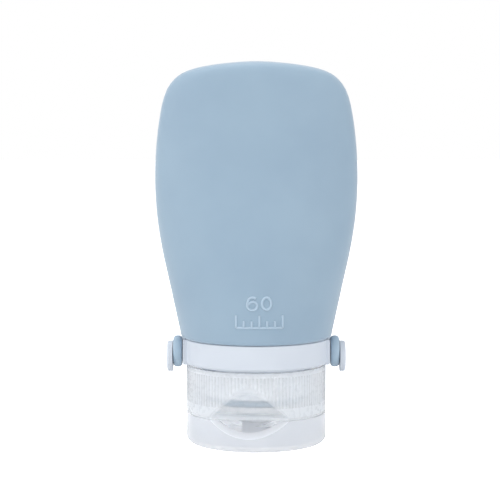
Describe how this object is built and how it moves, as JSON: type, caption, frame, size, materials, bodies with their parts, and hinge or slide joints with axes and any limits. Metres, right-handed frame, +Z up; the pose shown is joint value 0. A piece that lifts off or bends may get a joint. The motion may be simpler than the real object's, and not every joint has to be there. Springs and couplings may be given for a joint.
{
  "type": "squeeze bottle",
  "caption": "Flat silicone squeeze bottle standing on its screw closure, with a collar, a carry strap on side studs and a flip lid over a dosing valve.",
  "frame": {"origin": "centre of the lid's flat outer face, on the bottle's axis", "axes": "+Z up the bottle's axis towards its closed end, -Y out of the front face that carries the thumb grip, X through the two studs"},
  "size_m": [0.0544, 0.0613, 0.102],
  "materials": {
    "bottle_silicone": "soft matte blue-grey silicone",
    "strap_silicone": "matte blue-grey silicone",
    "collar_plastic": "satin white moulded plastic",
    "closure_plastic": "milky translucent moulded plastic",
    "seal_silicone": "clear white silicone",
    "retainer_plastic": "natural moulded plastic"
  },
  "bodies": {
    "bottle": {"bottle_body": "bottle_silicone", "neck_collar": "collar_plastic"},
    "strap": {"carry_strap": "strap_silicone"},
    "seal": {"seal_ring": "seal_silicone"},
    "cap": {"cap_base": "closure_plastic", "living_hinge": "closure_plastic", "slit_valve": "seal_silicone", "valve_retainer": "retainer_plastic"},
    "lid": {"flip_lid": "closure_plastic"}
  },
  "joints": [
    {"name": "strap_swing", "type": "hinge", "parent": "bottle", "child": "strap", "pos_m": [0, 0, 0.0243], "axis": [1, 0, 0], "range_deg": [-188, 20]},
    {"name": "cap_lift", "type": "slide", "parent": "bottle", "child": "seal", "axis": [0, 0, -1], "range_m": [0, 0.0045]},
    {"name": "cap_turn", "type": "hinge", "parent": "seal", "child": "cap", "pos_m": [0, 0, 0], "axis": [0, 0, -1], "range_deg": [0, 540]},
    {"name": "lid_flip", "type": "hinge", "parent": "cap", "child": "lid", "pos_m": [0.00229, 0.01861, 0.0085], "axis": [0.9925, -0.1219, 0], "range_deg": [0, 150]}
  ],
  "couplings": [
    {"joint": "cap_turn", "follows": "cap_lift", "rad_per_m": 2094.4}
  ]
}
